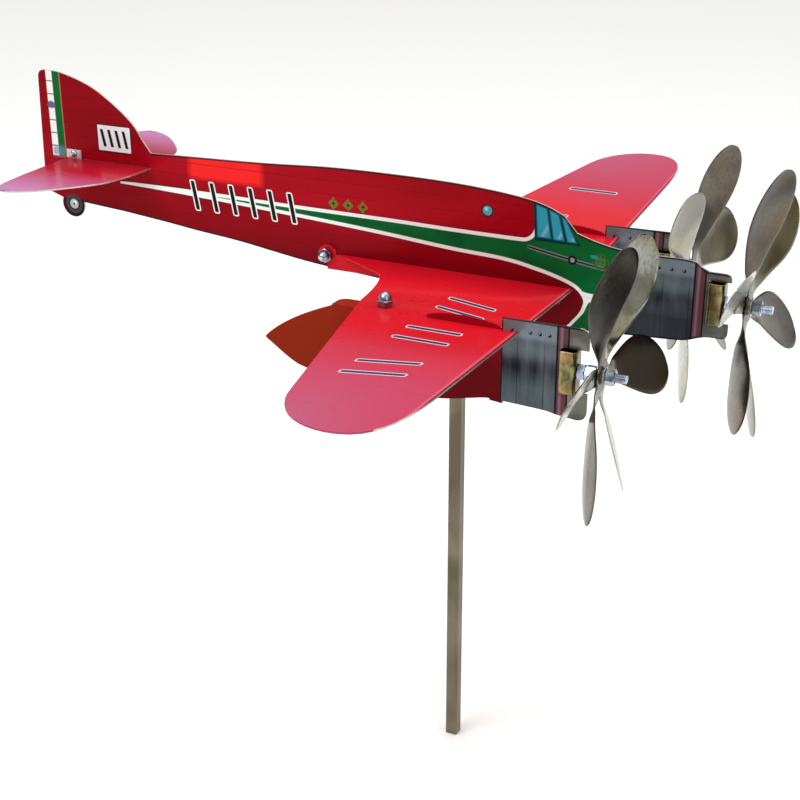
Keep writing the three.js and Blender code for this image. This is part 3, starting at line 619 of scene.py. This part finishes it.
# ------------------------------------------------------------------ metals and plastics
def metal_material(name, colour, dark, roughness, grain=700.0, stretch=(1.0, 1.0, 1.0), reflection_tint=None,
                   clouds=14.0):
    """Metal with dark clouds, patches of a reflected colour, and fine scratches drawn out along the stretch.
    """
    paint = Paint(name, roughness, 1.0)
    paint.fill(colour)
    # Painted reflection on the blades: these dark clouds stand for dark surroundings mirrored in polished
    # steel.
    shade = paint.noise(clouds, 2.0, distortion=0.6)
    paint.layer(dark, shade.above(0.5, 0.16) * 0.85)
    # Painted reflection: these coloured patches stand for surroundings mirrored in the blades and the mount.
    if reflection_tint:
        paint.layer(reflection_tint, paint.noise(20.0, 2.0, distortion=1.0).above(0.56, 0.25) * 0.7)
    scratches = paint.noise(grain, 4.0, stretch=stretch)
    paint.layer(dark, scratches.above(0.58, 0.2) * 0.35)
    paint.set("Roughness", scratches * 0.18 + (roughness - 0.08))
    paint.bump(scratches, 0.12, 0.0002)
    return paint.done()


def rear_blade_material():
    # Painted reflection: the rear blades' light steel colour stands for bright surroundings mirrored in
    # polished steel.
    return metal_material("blade_painted_bright_reflection", (0.46, 0.47, 0.43), (0.12, 0.105, 0.08), 0.18, grain=380.0,
                          reflection_tint=(0.34, 0.30, 0.13), clouds=12.0)


def front_blade_material():
    # Painted reflection: the front blades are the same polished steel, painted dark for dark surroundings
    # mirrored in it.
    return metal_material("blade_painted_dark_reflection", (0.13, 0.122, 0.108), (0.035, 0.03, 0.025), 0.22,
                          grain=380.0, reflection_tint=(0.16, 0.105, 0.05), clouds=15.0)


def zinc_material():
    return metal_material("bright_zinc", (0.52, 0.60, 0.72), (0.16, 0.20, 0.27), 0.22, grain=500.0,
                          clouds=90.0)


def mount_material():
    # Painted reflection: the orange patches stand for surroundings mirrored in the bare strip.
    return metal_material("bright_strip", (0.23, 0.22, 0.10), (0.03, 0.028, 0.02), 0.2, grain=400.0,
                          stretch=(1.0, 1.0, 0.3), reflection_tint=(0.42, 0.26, 0.10), clouds=95.0)


def pole_material():
    return metal_material("brushed_pole", (0.20, 0.175, 0.125), (0.11, 0.09, 0.062), 0.36, grain=900.0,
                          stretch=(1.0, 1.0, 0.02))


def brass_material():
    return metal_material("turned_brass", (0.60, 0.44, 0.20), (0.30, 0.20, 0.08), 0.3,
                          stretch=(1.0, 0.1, 0.1))


def block_material():
    return metal_material("milled_block", (0.55, 0.56, 0.57), (0.32, 0.33, 0.34), 0.34,
                          stretch=(1.0, 0.1, 1.0))


def nylon_material():
    """Off-white plastic with a fine speckle."""
    paint = Paint("washer_nylon", 0.5)
    paint.fill((0.72, 0.70, 0.64))
    speckle = paint.noise(500.0, 3.0)
    paint.layer((0.52, 0.50, 0.45), speckle.above(0.55, 0.3) * 0.5)
    paint.bump(speckle, 0.2, 0.0002)
    paint.shader.inputs["Subsurface Weight"].default_value = 0.1
    return paint.done()


def make_materials():
    return {
        "fuselage": fuselage_material(),
        "nacelle": nacelle_material(),
        "wing": wing_material(),
        "tailplane": tailplane_material(),
        "rear": rear_blade_material(),
        "front": front_blade_material(),
        "zinc": zinc_material(),
        "mount": mount_material(),
        "pole": pole_material(),
        "brass": brass_material(),
        "block": block_material(),
        "nylon": nylon_material(),
    }


# ------------------------------------------------------------------ mesh helpers
def add_piece(name, mesh_parts, body, nodes, material, angle=35.0):
    """One object from vertex and face lists in millimetres in the CAD frame."""
    bm = bmesh.new()
    for vertices, faces in mesh_parts:
        made = [bm.verts.new(Vector(v) * MM) for v in vertices]
        for face in faces:
            bm.faces.new([made[i] for i in face])
    bmesh.ops.recalc_face_normals(bm, faces=bm.faces)
    mesh = bpy.data.meshes.new(name)
    bm.to_mesh(mesh)
    bm.free()
    mesh.shade_smooth()
    mesh.set_sharp_from_angle(angle=math.radians(angle))
    mesh.materials.append(material)
    piece = bpy.data.objects.new(name, mesh)
    bpy.context.scene.collection.objects.link(piece)
    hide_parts(*nodes)
    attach(piece, body)


def moved(part, matrix):
    """The same vertices and faces in another place."""
    vertices, faces = part
    return [matrix @ Vector(v) for v in vertices], faces


def loft(rings, closed=False):
    """Skins rings of equal length. An open loft gets a cap on its first and last ring."""
    size = len(rings[0])
    count = len(rings)
    vertices = [v for ring in rings for v in ring]
    faces = []
    for i in range(count if closed else count - 1):
        for j in range(size):
            a = i * size + j
            b = i * size + (j + 1) % size
            c = ((i + 1) % count) * size
            faces.append((a, b, c + (j + 1) % size, c + j))
    if not closed:
        faces.append(tuple(range(size))[::-1])
        faces.append(tuple((count - 1) * size + j for j in range(size)))
    return vertices, faces


def hex_reach(angle, flats):
    """Distance from a hexagon's middle to its side in this direction."""
    sector = math.radians(60.0)
    return flats / 2 / math.cos((angle + sector / 2) % sector - sector / 2)


def hex_rings(flats, low, high, steps=48):
    """Outer skin of a hexagon with chamfered corners, along X."""
    angles = [2 * math.pi * i / steps for i in range(steps)]
    chamfer = flats / 2 * 0.96
    rise = math.tan(math.radians(28.0))

    def ring(place):
        return [(x, r * math.cos(a), r * math.sin(a)) for a in angles for x, r in [place(a)]]

    def corner(a):
        return (hex_reach(a, flats) - chamfer) * rise

    return [
        ring(lambda a: (low, chamfer)),
        ring(lambda a: (low + corner(a), hex_reach(a, flats))),
        ring(lambda a: (high - corner(a), hex_reach(a, flats))),
        ring(lambda a: (high, chamfer)),
    ]


def circle(x, radius, steps=48):
    """Ring of points around X."""
    return [(x, radius * math.cos(2 * math.pi * i / steps), radius * math.sin(2 * math.pi * i / steps))
            for i in range(steps)]


def nut(size, thickness):
    """Hexagon nut along X with a countersunk thread hole."""
    hole = size["hole"]
    mouth = hole + 0.35
    sink = 0.45
    rings = hex_rings(size["flats"], 0.0, thickness)
    bore = [circle(thickness, mouth), circle(thickness - sink, hole), circle(sink, hole), circle(0.0, mouth)]
    return loft(rings + bore, closed=True)


def threaded_shank(size, end, steps=32):
    """A shank along X: plain at first, then a rolled thread, then a chamfered tip."""
    radius, pitch = size["radius"], size["pitch"]
    depth = pitch * 0.3
    rows = [-SHANK_SUNK, SHANK_PLAIN]
    slices = int((end - SHANK_PLAIN) / pitch * 6)
    rows += [SHANK_PLAIN + (end - SHANK_PLAIN) * i / slices for i in range(1, slices + 1)]
    rings = []
    for x in rows:
        ring = []
        for j in range(steps):
            turn = j / steps
            groove = abs(((x / pitch - turn) % 1.0) * 2.0 - 1.0)
            reach = radius if x <= SHANK_PLAIN else radius - depth * groove
            reach = min(reach, radius - depth + (end - x))
            angle = 2 * math.pi * turn
            ring.append((x, reach * math.cos(angle), reach * math.sin(angle)))
        rings.append(ring)
    return loft(rings)


def bolt_head(size):
    """Hexagon head behind X = 0, with a shallow round dish in its top."""
    top = -size["head"]
    rings = hex_rings(size["flats"], top, 0.0)
    radius = size["flats"] / 2
    dish = [circle(top, radius * 0.7), circle(top + 0.35, radius * 0.62)]
    return loft(dish[::-1] + rings)


def cap_nut(size, height):
    """Domed nut along X, its open end at X = 0."""
    flats = size["flats"]
    hexagon = flats * 0.45
    dome = flats * 0.46
    rings = hex_rings(flats, 0.0, hexagon)
    steps = 12
    for i in range(steps + 1):
        turn = math.pi / 2 * i / (steps + 0.6)
        rings.append(circle(hexagon + (height - hexagon) * math.sin(turn), dome * math.cos(turn)))
    bore = [circle(height * 0.6, 0.2), circle(height * 0.6, size["hole"]), circle(0.0, size["hole"])]
    return loft(bore + rings + [circle(height, 0.15)])


def smooth(low, high, value):
    """Eases from 0 at low to 1 at high."""
    share = min(max((value - low) / (high - low), 0.0), 1.0)
    return share * share * (3.0 - 2.0 * share)


def blade_half_width(radius):
    """Half width of the leaf: it widens from the neck, and its tip is an ellipse."""
    along = radius / ROTOR_RADIUS
    leaf = 6.2 + 15.2 * smooth(0.12, 0.7, along)
    tip = math.sqrt(max(0.0, 1.0 - (max(0.0, along - 0.7) / 0.302) ** 2))
    return leaf * tip


def blade(cone, rows=46, columns=12):
    """One blade along +Z: a broad leaf on a narrow neck, twisted and leaning forward, with rounded edges."""
    flat = HUB_RADIUS + 1.0
    rings = []
    for row in range(rows + 1):
        share = row / rows
        radius = BLADE_ROOT + (ROTOR_RADIUS - BLADE_ROOT) * (1.0 - (1.0 - share) ** 1.6)
        pitch = BLADE_PITCH * smooth(flat, 30.0, radius)
        lean = cone * (max(0.0, radius - LEAN_START) / (ROTOR_RADIUS - LEAN_START)) ** 1.4
        half = blade_half_width(radius)
        cup = BLADE_CUP * half * smooth(20.0, 60.0, radius)
        ring = []
        for face in (-1, 1):
            for column in range(columns + 1):
                across = math.sin(math.pi / 2 * (column / columns * 2 - 1)) * -face
                edge = math.sqrt(max(0.0, 1.0 - abs(across) ** 14))
                forward = lean + cup * across * across + face * BLADE_SHEET / 2 * (0.15 + 0.85 * edge)
                sideways = across * half
                ring.append((
                    forward * math.cos(pitch) + sideways * math.sin(pitch),
                    sideways * math.cos(pitch) - forward * math.sin(pitch) + lean * math.sin(pitch),
                    radius,
                ))
        rings.append(ring)
    return loft(rings)


def stamping_parts(cone):
    """Hub disc and three blades in the rotor's own frame, its middle plane at X = 0."""
    half = BLADE_SHEET / 2 + 0.06
    soft = 0.3
    disc = loft([
        circle(-half, HUB_BORE), circle(-half, HUB_RADIUS - soft), circle(-half + soft, HUB_RADIUS),
        circle(half - soft, HUB_RADIUS), circle(half, HUB_RADIUS - soft), circle(half, HUB_BORE),
    ], closed=True)
    one = blade(cone)
    return [disc] + [moved(one, Matrix.Rotation(-math.radians(120.0 * i), 4, "X")) for i in range(3)]


def rounded_ring(width, depth, corner, z, steps=8):
    """A rounded rectangle in X (depth) and Y (width) at one height."""
    ring = []
    for sx, sy, start in ((1, 1, 0), (-1, 1, 90), (-1, -1, 180), (1, -1, 270)):
        for i in range(steps + 1):
            angle = math.radians(start + 90.0 * i / steps)
            ring.append((
                sx * (depth / 2 - corner) + corner * math.cos(angle),
                sy * (width / 2 - corner) + corner * math.sin(angle),
                z,
            ))
    return ring


def mount_part():
    """Short upright tube with softened rims, its front face at X = 0."""
    half = MOUNT_HEIGHT / 2
    soft = 0.35
    inner = (MOUNT_WIDTH - 2 * MOUNT_WALL, MOUNT_DEPTH - 2 * MOUNT_WALL, MOUNT_CORNER - MOUNT_WALL)
    outer = (MOUNT_WIDTH, MOUNT_DEPTH, MOUNT_CORNER)

    def shrunk(size, by, z):
        return rounded_ring(size[0] - 2 * by, size[1] - 2 * by, size[2] - by, z)

    rings = [
        shrunk(outer, 0.0, -half + soft), shrunk(outer, 0.0, half - soft), shrunk(outer, soft, half),
        shrunk(inner, -soft, half), shrunk(inner, 0.0, half - soft), shrunk(inner, 0.0, -half + soft),
        shrunk(inner, -soft, -half), shrunk(outer, soft, -half),
    ]
    return moved(loft(rings, closed=True), Matrix.Translation((-MOUNT_DEPTH / 2, 0, 0)))


# ------------------------------------------------------------------ pieces
def dress_engine(name, materials):
    """The mount, the axle bolt with its nuts, and the rotor's two stampings."""
    x, y, z, rear_angle, front_angle = ENGINES[name]
    at = Matrix.Translation((x, y, z + WING_HEIGHT))

    def along(offset):
        return at @ Matrix.Translation((offset, 0, 0))

    add_piece(f"{name}_mount_strip", [moved(mount_part(), at)], "aircraft", [f"{name}_engine_mount"],
              materials["mount"])
    for label, (offset, thickness, twist) in AXLE_NUTS.items():
        turned = along(offset) @ Matrix.Rotation(math.radians(twist), 4, "X")
        add_piece(f"{name}_{label}_hex", [moved(nut(M6, thickness), turned)], "aircraft",
                  [f"{name}_{label}"], materials["zinc"], NUT_CREASE)
    bolt = [bolt_head(M6), threaded_shank(M6, AXLE_LENGTH)]
    add_piece(f"{name}_axle", [moved(part, along(AXLE_SEAT)) for part in bolt], "aircraft",
              [f"{name}_axle_bolt"], materials["zinc"])
    stampings = (("rear", REAR_STAMPING, rear_angle, REAR_CONE),
                 ("front", FRONT_STAMPING, front_angle, FRONT_CONE))
    for label, offset, angle, cone in stampings:
        turned = along(offset) @ Matrix.Rotation(-math.radians(angle), 4, "X")
        add_piece(f"{name}_{label}_stamping", [moved(part, turned) for part in stamping_parts(cone)],
                  f"{name}_rotor", [f"{name}_{label}_blades"], materials[label])


def dress_bolt(name, size, nut_at, nut_height, bolt_at, shank, zinc):
    """A cap nut and the screw that goes into it, each along X of its own place."""
    add_piece(f"{name}_dome", [moved(cap_nut(size, nut_height), nut_at)], "aircraft",
              [f"{name}_cap_nut"], zinc, NUT_CREASE)
    screw = [bolt_head(size), threaded_shank(size, shank)]
    add_piece(f"{name}_screw", [moved(part, bolt_at) for part in screw], "aircraft", [f"{name}_bolt"],
              zinc)


def dress_cross_bolt(name, size, materials):
    """The cap nut looks to starboard (-Y) and the bolt's head to port (+Y)."""
    turn = Matrix.Rotation(-math.pi / 2, 4, "Z")
    low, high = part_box(f"{name}_cap_nut")
    middle = (low + high) / 2 / MM
    nut_at = Matrix.Translation((middle.x, high.y / MM, middle.z)) @ turn
    nut_height = (high.y - low.y) / MM
    low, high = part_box(f"{name}_bolt")
    bolt_at = Matrix.Translation((middle.x, high.y / MM - size["head"], middle.z)) @ turn
    shank = (high.y - low.y) / MM - size["head"]
    dress_bolt(name, size, nut_at, nut_height, bolt_at, shank, materials["zinc"])


def dress_nacelle_bolt(side, sign, materials):
    """The cap nut stands on the wing and the bolt's head is under the folded tab."""
    lean = Matrix.Rotation(sign * DIHEDRAL, 4, "X")
    place = Matrix.Translation((NACELLE_BOLT_X, sign * NACELLE_BOLT_Y, 0))
    stood_up = Matrix.Rotation(-math.pi / 2, 4, "Y")
    upright = Matrix.Translation((0, 0, WING_HEIGHT)) @ lean @ place @ stood_up
    nut_at = upright @ Matrix.Translation((NACELLE_NUT_SEAT, 0, 0))
    bolt_at = upright @ Matrix.Translation((NACELLE_HEAD_SEAT, 0, 0))
    dress_bolt(f"nacelle_{side}", M6, nut_at, NACELLE_NUT_HEIGHT, bolt_at, NACELLE_SHANK,
               materials["zinc"])


def keep_node(node, material, bevel):
    """A CAD node that stays: it gets its material and a fine bevel on its sharp edges."""
    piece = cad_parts[node]
    piece.data.materials.clear()
    piece.data.materials.append(material)
    weld = piece.modifiers.new("weld", "WELD")
    weld.merge_threshold = 0.01 * MM
    edge = piece.modifiers.new("edge", "BEVEL")
    edge.width = bevel * MM
    edge.segments = 2
    edge.limit_method = "ANGLE"
    edge.angle_limit = math.radians(40.0)


def dress_kept_nodes(materials):
    """The CAD's own plates, pole, swivel and small round parts, each with its bevel in mm."""
    kept = {
        "fuselage_plate": ("fuselage", 0.25), "tailplane": ("tailplane", 0.2),
        "wing_starboard": ("wing", 0.2), "wing_port": ("wing", 0.2),
        "nacelle_starboard": ("nacelle", 0.25), "nacelle_port": ("nacelle", 0.25),
        "pole_tube": ("pole", 0.3), "pole_plug": ("zinc", 0.3), "swivel_spindle": ("zinc", 0.1),
        "thrust_washer": ("nylon", 0.15), "bearing_block": ("block", 0.5), "tailplane_rivet": ("zinc", 0.1),
    }
    for name in ENGINES:
        kept[f"{name}_rear_washer"] = ("zinc", 0.15)
        kept[f"{name}_front_washer"] = ("zinc", 0.15)
        kept[f"{name}_rotor_bush"] = ("brass", 0.15)
    for node, (material, bevel) in kept.items():
        keep_node(node, materials[material], bevel)


# ------------------------------------------------------------------ stage
def make_camera():
    """A long lens that looks down on the aeroplane from starboard, ahead of its middle."""
    azimuth, elevation, roll = map(math.radians, (CAMERA_AZIMUTH, CAMERA_ELEVATION, CAMERA_ROLL))
    back = Vector((math.cos(elevation) * math.sin(azimuth), -math.cos(elevation) * math.cos(azimuth),
                   math.sin(elevation)))
    right = Vector((math.cos(azimuth), math.sin(azimuth), 0.0))
    up = back.cross(right)
    right, up = right * math.cos(roll) + up * math.sin(roll), up * math.cos(roll) - right * math.sin(roll)
    data = bpy.data.cameras.new("camera")
    data.lens = CAMERA_LENS
    data.sensor_width = 36.0
    camera = bpy.data.objects.new("camera", data)
    camera.matrix_world = Matrix.Translation(CAMERA_PLACE) @ Matrix((right, up, back)).transposed().to_4x4()
    bpy.context.scene.collection.objects.link(camera)
    bpy.context.scene.camera = camera


def make_floor():
    """A wide pale floor just under the pole's bottom end."""
    mesh = bpy.data.meshes.new("floor")
    reach = 30.0
    corners = [(-reach, -reach, 0), (reach, -reach, 0), (reach, reach, 0), (-reach, reach, 0)]
    mesh.from_pydata(corners, [], [(0, 1, 2, 3)])
    floor = bpy.data.objects.new("floor", mesh)
    floor.location.z = -0.0005
    paint = Paint("pale_floor", 0.9)
    paint.fill((0.93, 0.93, 0.92))
    paint.layer((0.88, 0.88, 0.87), paint.noise(2.0, 3.0) * 0.2)
    mesh.materials.append(paint.done())
    bpy.context.scene.collection.objects.link(floor)


def make_light(name, place, aim, size, power):
    """A white round area light of this diameter in metres and power in watts."""
    data = bpy.data.lights.new(name, "AREA")
    data.shape = "DISK"
    data.size = size
    data.energy = power
    light = bpy.data.objects.new(name, data)
    light.location = place
    light.rotation_euler = (Vector(aim) - Vector(place)).to_track_quat("-Z", "Y").to_euler()
    bpy.context.scene.collection.objects.link(light)


def make_world():
    """Pale studio walls; what the metal mirrors is a darker warm band near the horizon."""
    world = bpy.data.worlds.new("studio")
    bpy.context.scene.world = world
    world.use_nodes = True
    tree = world.node_tree
    back = tree.nodes["Background"]
    place = tree.nodes.new("ShaderNodeTexCoord")
    split = tree.nodes.new("ShaderNodeSeparateXYZ")
    tree.links.new(place.outputs["Generated"], split.inputs[0])
    ramp = tree.nodes.new("ShaderNodeValToRGB")
    stops = ramp.color_ramp.elements
    stops[0].position = 0.0
    stops[0].color = (0.16, 0.13, 0.09, 1)
    stops[1].position = 0.6
    stops[1].color = (1.0, 1.0, 1.0, 1)
    middle = stops.new(0.2)
    middle.color = (0.42, 0.40, 0.33, 1)
    tree.links.new(split.outputs[2], ramp.inputs[0])
    path = tree.nodes.new("ShaderNodeLightPath")
    pick = tree.nodes.new("ShaderNodeMix")
    pick.data_type = "RGBA"
    tree.links.new(path.outputs["Is Camera Ray"], pick.inputs["Factor"])
    tree.links.new(ramp.outputs[0], pick.inputs[6])
    pick.inputs[7].default_value = (1.0, 1.0, 1.0, 1)
    tree.links.new(pick.outputs[2], back.inputs["Color"])
    back.inputs["Strength"].default_value = 1.0


def make_stage():
    make_camera()
    make_floor()
    make_world()
    bpy.context.scene.view_settings.view_transform = "Standard"
    make_light("key", (-1.0, -1.6, 2.4), (0, 0, 0.4), 1.8, 30.0)
    make_light("fill", (1.8, -1.2, 1.2), (0.1, 0, 0.4), 1.4, 8.0)
    make_light("top", (0.2, 0.4, 2.6), (0, 0, 0.4), 2.4, 22.0)


# ------------------------------------------------------------------ build
make_stage()
materials = make_materials()
dress_kept_nodes(materials)
for engine in ENGINES:
    dress_engine(engine, materials)
for bolt, size in (("wing_rear", M6), ("wing_front", M6), ("block_rear", M4), ("block_front", M4)):
    dress_cross_bolt(bolt, size, materials)
for side, sign in (("starboard", -1), ("port", 1)):
    dress_nacelle_bolt(side, sign, materials)
